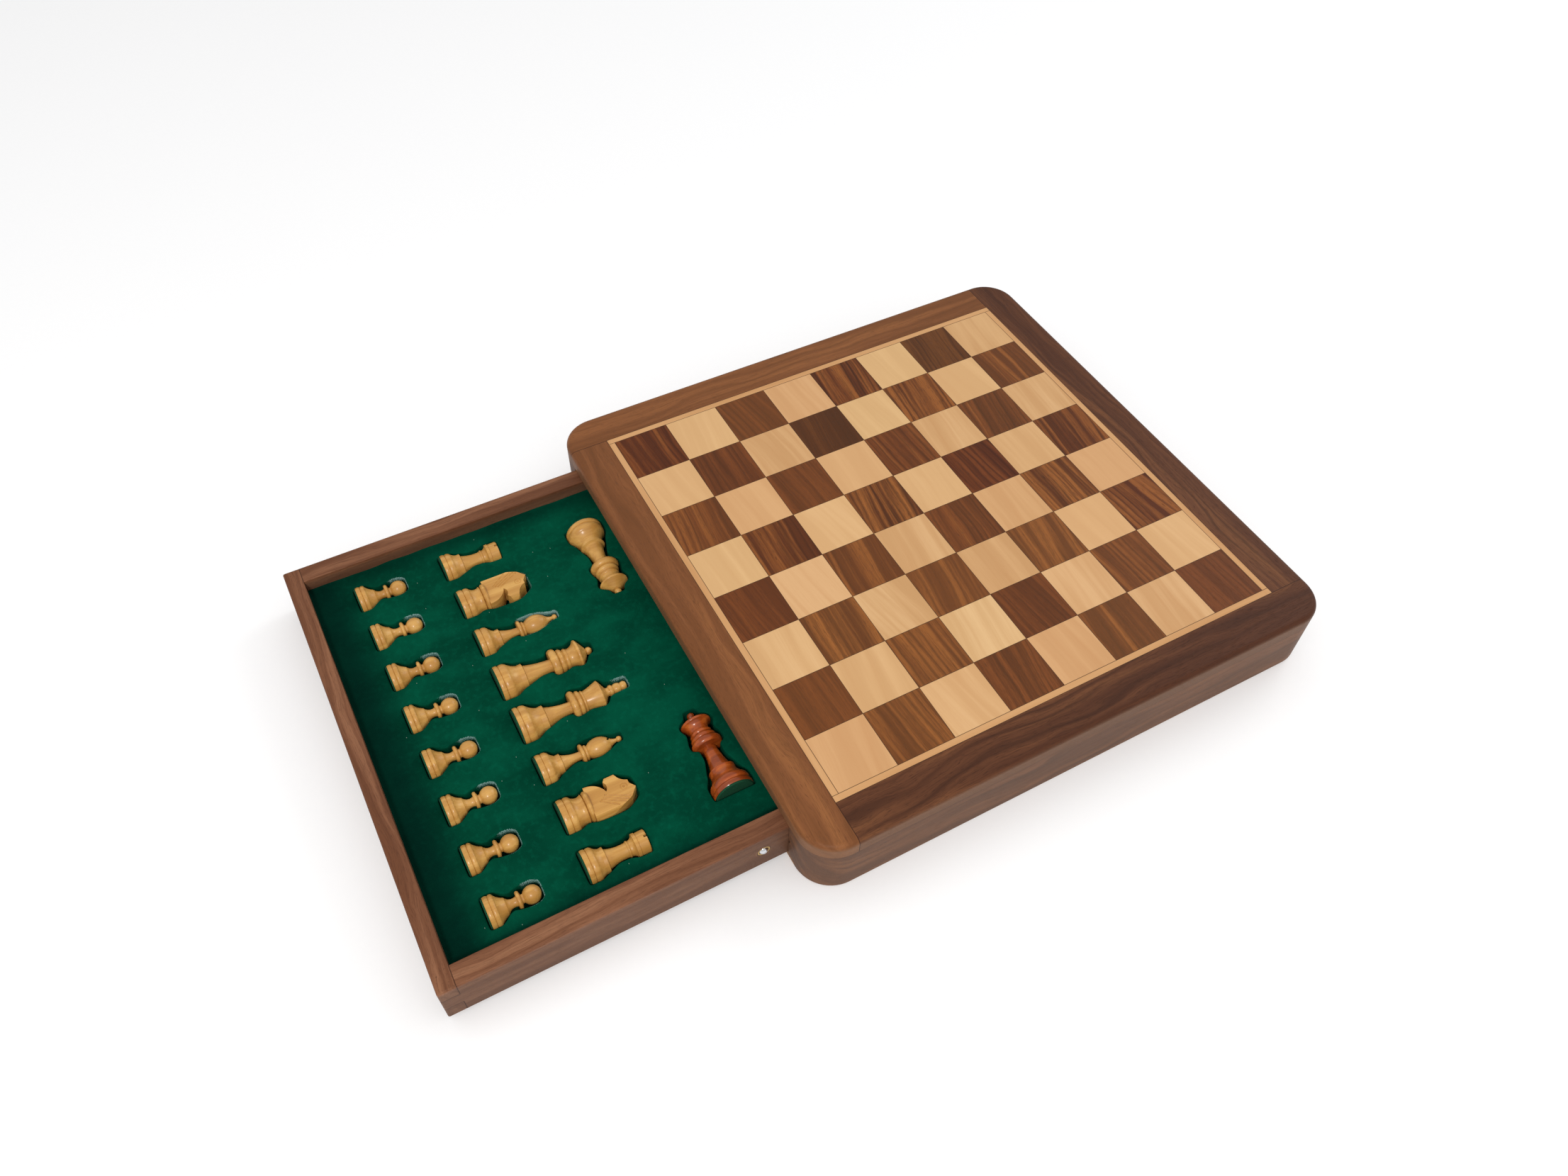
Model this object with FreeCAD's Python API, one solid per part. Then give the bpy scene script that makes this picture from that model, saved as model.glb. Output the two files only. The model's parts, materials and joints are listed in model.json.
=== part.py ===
import FreeCAD
import Part
import math
import os

# A chess set whose board is the lid of its own box: a drawer under the board holds the pieces.
# Millimetres. X runs to the right seen from the drawer's end, Y away from it, Z up.
# The origin is the centre of the box's underside. The drawer stands partly open.

# Chess pieces: height over the wood, and radius of the foot.
king_height = 57.0
king_foot = 10.7
queen_height = 49.8
queen_foot = 10.5
bishop_height = 42.0
bishop_foot = 8.6
knight_height = 36.6
knight_foot = 9.3
knight_head_thickness = 10.0
rook_height = 30.3
rook_foot = 8.8
rook_saw_cut = 1.2
pawn_height = 24.8
pawn_foot = 8.1
bishop_slit_width = 0.9
bishop_slit_level = 0.83
bishop_slit_slant = 28
felt_thickness = 0.8
felt_share = 0.93
magnet_radius = 3.0
magnet_length = 3.0
magnet_fit = 0.05

# How the pieces lie in the tray.
piece_pitch = 28.0
side_margin = 18.2
front_margin = 21.3
row_gap = 20.5
spare_gap = 9.6
back_margin = 3.7
sink_share = 0.27
pocket_gap = 0.6
pocket_gap_below = 0.4
pocket_floor = 0.6
spare_white_inset = 25.7
spare_brown_inset = 21.7

# Drawer.
drawer_side_thickness = 10.4
drawer_end_thickness = 8.5
drawer_bottom_thickness = 2.4
drawer_bottom_tongue = 3.0
drawer_rounding = 1.0
drawer_inner_rounding = 0.6
velvet_thickness = 0.8
insert_gap = 0.3
panel_gap = 0.1
head_room = 0.2

# Case and board.
side_wall_least = 12.0
back_wall_thickness = 14.0
bottom_thickness = 3.0
bottom_tongue = 5.7
rail_width = 21.9
strip_width = 3.5
square_thickness = 3.2
steel_thickness = 0.5
core_thickness = 5.3
corner_radius = 19.0
top_rounding = 3.0
bottom_rounding = 1.5
squares_in_row = 8

# Room round the drawer, and how far the case's end stands from the spare queens when it is open.
slide_gap = 0.5
side_gap = 0.6
end_gap = 0.8
open_gap = 0.7

# Sprung ball on each side of the drawer.
ball_radius = 2.5
ball_rise = 1.3
groove_gap = 0.4
dimple_depth = 0.3
barrel_wall = 0.6
barrel_back = 1.2
barrel_lip = 0.6
barrel_lip_gap = 0.02
barrel_bore_gap = 0.1
barrel_fit = 0.05
barrel_skin = 0.8
spring_wire = 0.25
spring_radius = 1.7
spring_turns = 5
spring_gap = 0.03

# How near two levels or two faces have to be to count as one, and how far a cutter runs past.
same = 0.001
past = 1

# Drawer sizes, from the pieces laid out in it.
widest_foot = max(king_foot, queen_foot, bishop_foot, knight_foot, rook_foot, pawn_foot)
rank_length = max(king_height, queen_height, bishop_height, knight_height, rook_height)
pieces_length = 2 * (pawn_height + row_gap + rank_length + spare_gap + queen_foot + 2 * felt_thickness)
tray_length = front_margin + pieces_length + back_margin
drawer_width = (squares_in_row - 1) * piece_pitch + 2 * side_margin + 2 * drawer_side_thickness
drawer_height = (drawer_bottom_thickness + pocket_floor + pocket_gap_below + 2 * widest_foot
                 + head_room)

# The case is square, and has to go round the drawer both ways.
case_for_length = tray_length + 2 * drawer_end_thickness + end_gap + back_wall_thickness
case_for_width = drawer_width + 2 * (side_gap + side_wall_least)
case_size = max(case_for_length, case_for_width)
half = case_size / 2
drawer_length = case_size - end_gap - back_wall_thickness
slab_thickness = square_thickness + steel_thickness + core_thickness
square_size = (case_size - 2 * rail_width - 2 * strip_width) / squares_in_row

# Heights.
drawer_z = bottom_thickness + slide_gap
drawer_top = drawer_z + drawer_height
slab_z = drawer_top + slide_gap
steel_z = slab_z + core_thickness
square_z = steel_z + steel_thickness
board_top = slab_z + slab_thickness
insert_z = drawer_z + drawer_bottom_thickness
velvet_top = insert_z + pocket_floor + pocket_gap_below + (1 + sink_share) * widest_foot
insert_top = velvet_top - velvet_thickness

# Distances from the drawer's outer front face. Any spare length goes before the first pawns.
brown_pawn_base = drawer_length - drawer_end_thickness - back_margin - felt_thickness
brown_rank_base = brown_pawn_base - pawn_height - row_gap - felt_thickness
spare_axis = brown_rank_base - rank_length - spare_gap - queen_foot
white_rank_base = spare_axis - queen_foot - spare_gap - rank_length
white_pawn_base = white_rank_base - felt_thickness - row_gap - pawn_height

drawer_open = spare_axis + queen_foot + open_gap
drawer_front_y = -half - drawer_open
drawer_back_y = drawer_front_y + drawer_length
drawer_half = drawer_width / 2
inner_half = drawer_half - drawer_side_thickness
inner_front_y = drawer_front_y + drawer_end_thickness
inner_back_y = drawer_back_y - drawer_end_thickness
wall_inner = drawer_half + side_gap
squares_half = squares_in_row * square_size / 2
frame_inner = squares_half + strip_width


def vector(x, y, z):
    return FreeCAD.Vector(x, y, z)


def box(x0, x1, y0, y1, z0, z1):
    return Part.makeBox(x1 - x0, y1 - y0, z1 - z0, vector(x0, y0, z0))


def export(name, *solids):
    shape = solids[0] if len(solids) == 1 else Part.makeCompound(list(solids))
    shape.exportStep("parts/" + name + ".step")


def edges_at(shape, inside):
    return [edge for edge in shape.Edges if all(inside(v.Point) for v in edge.Vertexes)]


def upright_edges(shape):
    return [edge for edge in shape.Edges
            if len(edge.Vertexes) == 2
            and abs(edge.Vertexes[0].X - edge.Vertexes[1].X) < same
            and abs(edge.Vertexes[0].Y - edge.Vertexes[1].Y) < same]


class Turning:
    # Half outline of a turned piece. Radii are shares of the foot's radius, levels of the height.

    def __init__(self, height, foot):
        self.height = height
        self.foot_radius = foot
        self.edges = []
        self.at = vector(0, 0, 0)

    def point(self, radius, level):
        return vector(radius * self.foot_radius, 0, level * self.height)

    def level(self):
        return self.at.z / self.height

    def line(self, radius, level):
        end = self.point(radius, level)
        self.edges.append(Part.LineSegment(self.at, end).toShape())
        self.at = end

    def arc(self, middle_radius, middle_level, radius, level):
        end = self.point(radius, level)
        middle = self.point(middle_radius, middle_level)
        self.edges.append(Part.Arc(self.at, middle, end).toShape())
        self.at = end

    def ring(self, radius, top, rounding=0.1):
        bottom = self.level()
        self.line(radius - rounding, bottom)
        self.arc(radius, (bottom + top) / 2, radius - rounding, top)

    def foot(self, disc_top, groove_top, widest, shoulder, neck_radius, neck):
        # Disc with a groove over it, then a bell that is round first and hollow towards its neck.
        self.line(0.965, 0)
        self.arc(1.0, disc_top * 0.5, 0.975, disc_top)
        self.line(0.925, (disc_top + groove_top) / 2)
        self.line(0.955, groove_top)
        shoulder_radius = 0.86
        self.arc(0.985, widest, shoulder_radius, shoulder)
        # The hollow's middle lies nearer to the neck's radius than to the shoulder's.
        hollow = 0.64
        middle_radius = shoulder_radius * (1 - hollow) + neck_radius * hollow
        self.arc(middle_radius, (shoulder + neck) / 2, neck_radius, neck)

    def cap(self):
        # Round end, centred on the axis.
        top = self.height
        centre = (top ** 2 - self.at.z ** 2 - self.at.x ** 2) / (2 * (top - self.at.z))
        radius = top - centre
        middle = math.atan2(self.at.x, self.at.z - centre) / 2
        self.arc(radius * math.sin(middle) / self.foot_radius,
                 (centre + radius * math.cos(middle)) / self.height, 0, 1)

    def solid(self):
        if self.at.x > 0:
            self.line(0, self.level())
        self.edges.append(Part.LineSegment(self.at, vector(0, 0, 0)).toShape())
        face = Part.Face(Part.Wire(self.edges))
        return face.revolve(vector(0, 0, 0), vector(0, 0, 1), 360)


def turned_king():
    t = Turning(king_height, king_foot)
    t.foot(0.040, 0.049, 0.072, 0.118, 0.61, 0.196)
    t.line(0.628, 0.242)
    t.line(0.50, 0.252)
    t.arc(0.35, 0.354, 0.29, 0.474)
    t.ring(0.729, 0.530)
    t.line(0.55, 0.537)
    t.ring(0.626, 0.577, 0.07)
    t.line(0.50, 0.584)
    t.ring(0.551, 0.607, 0.05)
    t.line(0.495, 0.614)
    t.arc(0.595, 0.688, 0.71, 0.750)
    t.line(0.70, 0.757)
    t.line(0.327, 0.795)
    t.arc(0.235, 0.805, 0.215, 0.830)
    t.ring(0.28, 0.867, 0.05)
    t.line(0.20, 0.874)
    t.ring(0.262, 0.935, 0.05)
    t.line(0.178, 0.940)
    t.arc(0.224, 0.968, 0.178, 0.990)
    t.cap()
    return t.solid()


def turned_queen():
    t = Turning(queen_height, queen_foot)
    t.foot(0.046, 0.056, 0.084, 0.140, 0.64, 0.225)
    t.line(0.655, 0.274)
    t.line(0.53, 0.285)
    t.arc(0.40, 0.41, 0.324, 0.558)
    t.ring(0.762, 0.635)
    t.line(0.55, 0.641)
    t.ring(0.629, 0.691, 0.07)
    t.line(0.50, 0.703)
    t.ring(0.552, 0.743, 0.05)
    t.line(0.486, 0.755)
    t.arc(0.545, 0.80, 0.69, 0.832)
    t.arc(0.762, 0.849, 0.70, 0.866)
    t.line(0.238, 0.928)
    t.line(0.13, 0.931)
    t.cap()
    return t.solid()


def turned_bishop():
    t = Turning(bishop_height, bishop_foot)
    t.foot(0.060, 0.069, 0.100, 0.150, 0.57, 0.215)
    t.line(0.585, 0.264)
    t.line(0.47, 0.276)
    t.arc(0.30, 0.375, 0.244, 0.493)
    t.ring(0.605, 0.538)
    t.line(0.42, 0.545)
    t.ring(0.465, 0.576, 0.05)
    t.line(0.36, 0.586)
    t.arc(0.595, 0.700, 0.267, 0.857)
    t.arc(0.17, 0.890, 0.10, 0.935)
    t.cap()
    mitre = t.solid()
    # The slit goes in to the axis, and rises towards its mouth.
    slit = box(-bishop_foot, 0, -bishop_foot, bishop_foot,
               -bishop_slit_width / 2, bishop_slit_width / 2)
    slit.rotate(vector(0, 0, 0), vector(0, 1, 0), bishop_slit_slant)
    slit.translate(vector(0, 0, bishop_slit_level * bishop_height))
    return mitre.cut(slit)


def turned_rook():
    t = Turning(rook_height, rook_foot)
    t.foot(0.076, 0.089, 0.125, 0.190, 0.70, 0.272)
    t.line(0.72, 0.328)
    t.line(0.56, 0.345)
    t.arc(0.44, 0.47, 0.42, 0.672)
    t.ring(0.477, 0.710, 0.04)
    t.arc(0.50, 0.765, 0.693, 0.792)
    t.line(0.693, 0.842)
    t.line(0.636, 0.851)
    t.line(0.655, 0.865)
    t.line(0.668, 0.985)
    t.line(0.64, 1.0)
    tower = t.solid()
    hollow_radius = 0.45 * rook_foot
    hollow_depth = 0.07 * rook_height
    tower = tower.cut(Part.makeCylinder(hollow_radius, hollow_depth + past,
                                        vector(0, 0, rook_height - hollow_depth)))
    cut_depth = 0.047 * rook_height
    saw = box(-rook_foot, rook_foot, -rook_saw_cut / 2, rook_saw_cut / 2,
              rook_height - cut_depth, rook_height + past)
    crossing = saw.copy()
    crossing.rotate(vector(0, 0, 0), vector(0, 0, 1), 90)
    return tower.cut(saw).cut(crossing)


def turned_pawn():
    t = Turning(pawn_height, pawn_foot)
    t.foot(0.085, 0.101, 0.150, 0.190, 0.506, 0.343)
    t.line(0.46, 0.355)
    t.arc(0.33, 0.40, 0.305, 0.548)
    t.ring(0.543, 0.617, 0.09)
    t.line(0.272, 0.637)
    t.line(0.272, 0.671)
    t.cap()
    return t.solid()


def carved_knight():
    t = Turning(knight_height, knight_foot)
    t.foot(0.077, 0.090, 0.137, 0.178, 0.74, 0.240)
    t.arc(0.745, 0.275, 0.817, 0.311)
    t.line(0.71, 0.325)
    t.line(0.82, 0.333)
    t.line(0.882, 0.350)
    t.line(0.882, 0.372)
    t.line(0.83, 0.388)
    base = t.solid()

    # Side view of the head, nose towards -X: chest, throat, jaw, nose, brow, ear, crest, back.
    def p(across, level):
        return vector(across * knight_foot, 0, level * knight_height)

    chest = p(-0.88, 0.380)
    throat = p(-0.16, 0.634)
    jaw = p(-0.72, 0.642)
    lip = p(-0.98, 0.690)
    nose = p(-0.96, 0.800)
    bridge = p(-0.66, 0.833)
    brow = p(-0.31, 0.940)
    notch = p(-0.10, 0.940)
    ear = p(0.22, 1.0)
    crest = p(0.645, 0.907)
    back = p(0.98, 0.380)
    outline = [
        Part.Arc(chest, p(-0.62, 0.560), throat),
        Part.Arc(throat, p(-0.45, 0.667), jaw),
        Part.LineSegment(jaw, lip),
        Part.Arc(lip, p(-1.03, 0.750), nose),
        Part.LineSegment(nose, bridge),
        Part.Arc(bridge, p(-0.43, 0.884), brow),
        Part.LineSegment(brow, notch),
        Part.LineSegment(notch, ear),
        Part.LineSegment(ear, crest),
        Part.Arc(crest, p(0.97, 0.690), back),
        Part.LineSegment(back, chest),
    ]
    face = Part.Face(Part.Wire([curve.toShape() for curve in outline]))
    face.translate(vector(0, -knight_head_thickness / 2, 0))
    head = face.extrude(vector(0, knight_head_thickness, 0))
    blank_radius = 1.04 * knight_foot
    blank = Part.makeCylinder(blank_radius, knight_height)
    head = head.common(blank)
    groove_radius = 0.4
    mane = [
        (p(-0.04, 0.590), p(0.60, 0.890)),
        (p(0.06, 0.566), p(0.71, 0.856)),
        (p(0.14, 0.536), p(0.78, 0.810)),
        (p(0.20, 0.508), p(0.83, 0.720)),
    ]
    eye = p(-0.04, 0.861)
    eye_radius = 0.17 * knight_foot
    eye_groove = 0.3
    pupil_radius = 0.07 * knight_foot
    for side in (-1, 1):
        out = vector(0, side * knight_head_thickness / 2, 0)
        for start, end in mane:
            line = end - start
            head = head.cut(Part.makeCylinder(groove_radius, line.Length, start + out, line))
        head = head.cut(Part.makeTorus(eye_radius, eye_groove, eye + out, vector(0, 1, 0)))
        head = head.cut(Part.makeSphere(pupil_radius, eye + out))
    return base.fuse(head)


class Piece:
    # One kind of chess piece: its wood, and its hollow in the tray as (level, half width) shares.

    def __init__(self, height, foot, wood, hollow):
        self.height = height
        self.foot = foot
        bore = Part.makeCylinder(magnet_radius + magnet_fit, magnet_length + magnet_fit)
        self.wood = wood.cut(bore)
        self.hollow = hollow

    def place(self, shape, x, from_front, turn):
        shape.rotate(vector(0, 0, 0), vector(0, 0, 1), turn)
        axis_z = velvet_top - sink_share * self.foot
        shape.translate(vector(x, drawer_front_y + from_front, axis_z))
        return shape

    def solids(self, x, from_front, turn, roll=0):
        magnet = Part.makeCylinder(magnet_radius, magnet_length)
        felt = Part.makeCylinder(felt_share * self.foot, felt_thickness,
                                 vector(0, 0, -felt_thickness))
        placed = []
        for part in (self.wood, magnet, felt):
            solid = part.copy()
            solid.rotate(vector(0, 0, 0), vector(0, 0, 1), roll)
            solid.rotate(vector(0, 0, 0), vector(1, 0, 0), -90)
            placed.append(self.place(solid, x, from_front, turn))
        return placed

    def pocket(self, gap, x, from_front, turn):
        right = [vector(share * self.foot + gap, level * self.height, 0)
                 for level, share in self.hollow]
        right[0].y = -felt_thickness - gap
        right[-1].y = self.height + gap
        left = [vector(-point.x, point.y, 0) for point in reversed(right)]
        outline = Part.makePolygon(right + left + right[:1])
        above_the_piece = 4 * self.foot
        prism = Part.Face(outline).extrude(vector(0, 0, above_the_piece))
        prism.translate(vector(0, 0, -self.foot - pocket_gap_below))
        return self.place(prism, x, from_front, turn)


os.makedirs("parts", exist_ok=True)

# The two ends a piece can point to, and the two sides, as turns about Z.
to_far = 0
to_drawer_end = 180
to_right = -90
to_left = 90

king = Piece(king_height, king_foot, turned_king(),
             [(0, 1), (0.12, 1), (0.20, 0.72), (0.25, 0.66), (0.36, 0.44), (0.46, 0.44),
              (0.48, 0.74), (0.53, 0.74), (0.62, 0.62), (0.75, 0.76), (0.79, 0.64), (0.82, 0.36),
              (1, 0.28)])
queen = Piece(queen_height, queen_foot, turned_queen(),
              [(0, 1), (0.14, 1), (0.22, 0.76), (0.28, 0.69), (0.42, 0.46), (0.54, 0.46),
               (0.56, 0.78), (0.64, 0.78), (0.75, 0.62), (0.83, 0.80), (0.88, 0.76), (0.94, 0.34),
               (1, 0.26)])
bishop = Piece(bishop_height, bishop_foot, turned_bishop(),
               [(0, 1), (0.14, 1), (0.22, 0.70), (0.28, 0.61), (0.38, 0.40), (0.47, 0.40),
                (0.50, 0.62), (0.55, 0.62), (0.70, 0.66), (0.82, 0.50), (0.92, 0.26), (1, 0.24)])
knight = Piece(knight_height, knight_foot, carved_knight(),
               [(0, 1), (0.17, 1), (0.25, 0.84), (0.32, 0.86), (0.39, 1), (0.68, 1.06),
                (0.81, 1.02), (0.93, 0.76), (1, 0.5)])
rook = Piece(rook_height, rook_foot, turned_rook(),
             [(0, 1), (0.17, 1), (0.28, 0.82), (0.35, 0.74), (0.48, 0.52), (0.67, 0.54),
              (0.79, 0.73), (1, 0.73)])
pawn = Piece(pawn_height, pawn_foot, turned_pawn(),
             [(0, 1), (0.18, 1), (0.28, 0.78), (0.36, 0.56), (0.46, 0.46), (0.55, 0.60),
              (0.66, 0.64), (0.76, 0.69), (0.90, 0.66), (1, 0.46)])

last_column = squares_in_row - 1
columns = [(n - last_column / 2) * piece_pitch for n in range(squares_in_row)]
hollows = []

for number, x in enumerate(columns, 1):
    export("white_pawn_%d" % number, *pawn.solids(x, white_pawn_base, to_far))
    hollows.append((pawn, x, white_pawn_base, to_far))
    hollows.append((pawn, x, brown_pawn_base, to_drawer_end))
brown_pawns = []
for x in columns:
    brown_pawns += pawn.solids(x, brown_pawn_base, to_drawer_end)
export("brown_pawns", *brown_pawns)

# Rank pieces that come in pairs lie as far in from both sides. The knights' noses point inwards,
# and the left bishop lies on its slit.
for name, piece, place, left_roll in (("rook", rook, 0, 0), ("knight", knight, 1, 180),
                                      ("bishop", bishop, 2, -90)):
    browns = []
    for side, column, roll in (("left", place, left_roll), ("right", last_column - place, 0)):
        x = columns[column]
        export("white_%s_%s" % (name, side), *piece.solids(x, white_rank_base, to_far, roll))
        browns += piece.solids(x, brown_rank_base, to_drawer_end, 180 - roll)
        hollows.append((piece, x, white_rank_base, to_far))
        hollows.append((piece, x, brown_rank_base, to_drawer_end))
    export("brown_%ss" % name, *browns)

for name, piece, x in (("queen", queen, columns[3]), ("king", king, columns[4])):
    export("white_" + name, *piece.solids(x, white_rank_base, to_far))
    export("brown_" + name, *piece.solids(x, brown_rank_base, to_drawer_end))
    hollows.append((piece, x, white_rank_base, to_far))
    hollows.append((piece, x, brown_rank_base, to_drawer_end))

for name, x, turn in (("spare_white_queen", spare_white_inset - inner_half, to_right),
                      ("spare_brown_queen", inner_half - spare_brown_inset, to_left)):
    export(name, *queen.solids(x, spare_axis, turn))
    hollows.append((queen, x, spare_axis, turn))

# Tray and its velvet, both cut out round the pieces.
tray_edge = inner_half - insert_gap
tray_front = inner_front_y + insert_gap
tray_back = inner_back_y - insert_gap
insert = box(-tray_edge, tray_edge, tray_front, tray_back, insert_z, insert_top)
velvet = box(-tray_edge, tray_edge, tray_front, tray_back, insert_top, velvet_top)
export("tray_insert", insert.cut([piece.pocket(pocket_gap + velvet_thickness, *where)
                                  for piece, *where in hollows]))
export("velvet_lining", velvet.cut([piece.pocket(pocket_gap, *where) for piece, *where in hollows]))

# Drawer: one rounded ring, parted into boards with a three-finger joint at each corner.
ring = box(-drawer_half, drawer_half, drawer_front_y, drawer_back_y, drawer_z, drawer_top)
ring_top = edges_at(ring, lambda p: abs(p.z - drawer_top) < same)
ring = ring.makeFillet(drawer_rounding, upright_edges(ring) + ring_top)
ring = ring.cut(box(-inner_half, inner_half, inner_front_y, inner_back_y, drawer_z, drawer_top))
mouth = edges_at(ring, lambda p: abs(p.z - drawer_top) < same
                 and abs(p.x) < inner_half + same
                 and inner_front_y - same < p.y < inner_back_y + same)
ring = ring.makeFillet(drawer_inner_rounding, mouth)
ledge = drawer_bottom_tongue
ring = ring.cut(box(-inner_half - ledge, inner_half + ledge, inner_front_y - ledge,
                    inner_back_y + ledge, drawer_z, insert_z))
reach = ledge - panel_gap
export("drawer_bottom", box(-inner_half - reach, inner_half + reach, inner_front_y - reach,
                            inner_back_y + reach, drawer_z, insert_z))

finger_z = drawer_z + drawer_height / 3
finger_top = drawer_z + drawer_height * 2 / 3
right_board = box(inner_half, drawer_half, inner_front_y, inner_back_y, drawer_z, drawer_top)
right_board = right_board.fuse(box(inner_half, drawer_half, drawer_front_y, drawer_back_y,
                                   finger_z, finger_top))
left_board = right_board.mirror(vector(0, 0, 0), vector(1, 0, 0))
both_sides = right_board.fuse(left_board)
front_block = box(-drawer_half, drawer_half, drawer_front_y, inner_front_y, drawer_z, drawer_top)
back_block = box(-drawer_half, drawer_half, inner_back_y, drawer_back_y, drawer_z, drawer_top)
export("drawer_front", ring.common(front_block.cut(both_sides)))
export("drawer_back", ring.common(back_block.cut(both_sides)))

# Sprung balls: a barrel let into the drawer's side holds a ball in behind its lip.
ball_x = drawer_half + ball_rise - ball_radius
ball_y = drawer_front_y + half
ball_z = drawer_z + drawer_height / 2
along = vector(1, 0, 0)
bore_radius = ball_radius + barrel_bore_gap
barrel_radius = bore_radius + barrel_wall
hole_x = inner_half + barrel_skin
barrel_x = hole_x + panel_gap
bore_x = barrel_x + barrel_back
lip_x = drawer_half - barrel_lip
lip_hole = (ball_radius ** 2 - (lip_x - ball_x) ** 2) ** 0.5 + barrel_lip_gap


def rod(radius, x0, x1):
    return Part.makeCylinder(radius, x1 - x0, vector(x0, ball_y, ball_z), along)


ball = Part.makeSphere(ball_radius, vector(ball_x, ball_y, ball_z))
barrel = rod(barrel_radius, barrel_x, drawer_half)
barrel = barrel.cut(rod(bore_radius, bore_x, lip_x))
barrel = barrel.cut(rod(lip_hole, lip_x, drawer_half))
spring_back = bore_x + spring_wire
touch = ((ball_radius + spring_wire) ** 2 - spring_radius ** 2) ** 0.5
spring_front = ball_x - touch - spring_gap
spring_length = spring_front - spring_back
coil = Part.makeHelix(spring_length / spring_turns, spring_length, spring_radius)
wire_end = Part.Wire(Part.makeCircle(spring_wire, vector(spring_radius, 0, 0), vector(0, 1, 0)))
spring = Part.Wire(coil.Edges).makePipeShell([wire_end], True, True)
spring.rotate(vector(0, 0, 0), vector(0, 1, 0), 90)
spring.translate(vector(spring_back, ball_y, ball_z))
right_side = ring.common(right_board).cut(rod(barrel_radius + barrel_fit, hole_x, drawer_half + past))


def mirrored(shape):
    return shape.mirror(vector(0, 0, 0), vector(1, 0, 0))


export("drawer_side_right", right_side)
export("drawer_side_left", mirrored(right_side))
export("catch_barrels", barrel, mirrored(barrel))
export("catch_spring_right", spring)
export("catch_spring_left", mirrored(spring))
export("catch_ball_right", ball)
export("catch_ball_left", mirrored(ball))


# Case: walls and bottom are parts of one rounded block.
def rounded_block(z0, z1, rounded_z, rounding):
    block = box(-half, half, -half, half, z0, z1)
    block = block.makeFillet(corner_radius, upright_edges(block))
    rim = edges_at(block, lambda p: abs(p.z - rounded_z) < same)
    return block.makeFillet(rounding, rim)


case = rounded_block(0, slab_z, 0, bottom_rounding)
slab = rounded_block(slab_z, board_top, board_top, top_rounding)
back_inner = half - back_wall_thickness
rabbet = box(-wall_inner - bottom_tongue - panel_gap, wall_inner + bottom_tongue + panel_gap,
             -half, back_inner + bottom_tongue + panel_gap, 0, bottom_thickness)
panel = box(-wall_inner - bottom_tongue, wall_inner + bottom_tongue, -half,
            back_inner + bottom_tongue, 0, bottom_thickness)
export("bottom_panel", case.common(panel))
walls = case.cut(rabbet)

# The ball runs in a groove along each side wall, and drops into a dimple when the drawer is shut.
closed_ball = vector(ball_x, ball_y + drawer_open, ball_z)
groove_radius = ball_radius + groove_gap
groove = Part.makeCylinder(groove_radius, half + closed_ball.y, vector(ball_x, -half, ball_z),
                           vector(0, 1, 0))
dimple = Part.makeSphere(groove_radius + dimple_depth, closed_ball)
right_wall = walls.common(box(wall_inner, half, -half, half, 0, slab_z)).cut(groove).cut(dimple)
export("side_wall_right", right_wall)
export("side_wall_left", mirrored(right_wall))
export("back_wall", walls.common(box(-wall_inner, wall_inner, back_inner, half, 0, slab_z)))

# Board frame: each rail runs past one neighbour and stops at the other.
rail_blocks = {
    "rail_drawer_side": box(-frame_inner, half, -half, -frame_inner, slab_z, board_top),
    "rail_right": box(frame_inner, half, -frame_inner, half, slab_z, board_top),
    "rail_far": box(-half, frame_inner, frame_inner, half, slab_z, board_top),
    "rail_left": box(-half, -frame_inner, -half, frame_inner, slab_z, board_top),
}
for name, block in rail_blocks.items():
    export(name, slab.common(block))

export("strip_drawer_side",
       box(-frame_inner, frame_inner, -frame_inner, -squares_half, square_z, board_top))
export("strip_far",
       box(-frame_inner, frame_inner, squares_half, frame_inner, square_z, board_top))
export("strip_left",
       box(-frame_inner, -squares_half, -squares_half, squares_half, square_z, board_top))
export("strip_right",
       box(squares_half, frame_inner, -squares_half, squares_half, square_z, board_top))

# Squares, with a dark one at each player's left hand.
dark = []
light = []
for row in range(squares_in_row):
    for column in range(squares_in_row):
        x = column * square_size - squares_half
        y = row * square_size - squares_half
        square = box(x, x + square_size, y, y + square_size, square_z, board_top)
        (light if (row + column) % 2 else dark).append(square)
export("dark_squares", *dark)
export("light_squares", *light)
export("steel_sheet", box(-frame_inner, frame_inner, -frame_inner, frame_inner, steel_z, square_z))
export("board_core", box(-frame_inner, frame_inner, -frame_inner, frame_inner, slab_z, steel_z))
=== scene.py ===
import json

import math

import bmesh
import bpy
from mathutils import Matrix, Vector, geometry, kdtree, noise


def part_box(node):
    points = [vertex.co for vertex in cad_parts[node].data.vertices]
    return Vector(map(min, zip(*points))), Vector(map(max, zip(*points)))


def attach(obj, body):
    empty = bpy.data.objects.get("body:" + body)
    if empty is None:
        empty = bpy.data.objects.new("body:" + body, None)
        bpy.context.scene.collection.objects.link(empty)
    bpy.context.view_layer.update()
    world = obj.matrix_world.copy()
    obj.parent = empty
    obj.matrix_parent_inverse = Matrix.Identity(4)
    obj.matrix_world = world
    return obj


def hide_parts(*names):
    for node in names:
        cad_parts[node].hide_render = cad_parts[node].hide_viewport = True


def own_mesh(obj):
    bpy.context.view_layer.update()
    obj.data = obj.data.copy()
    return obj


# Looks for the chess box: woods, velvet, felt and steel over the CAD frame. Metres.
# In shaders places are in millimetres, in the frame's own axes.

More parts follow.
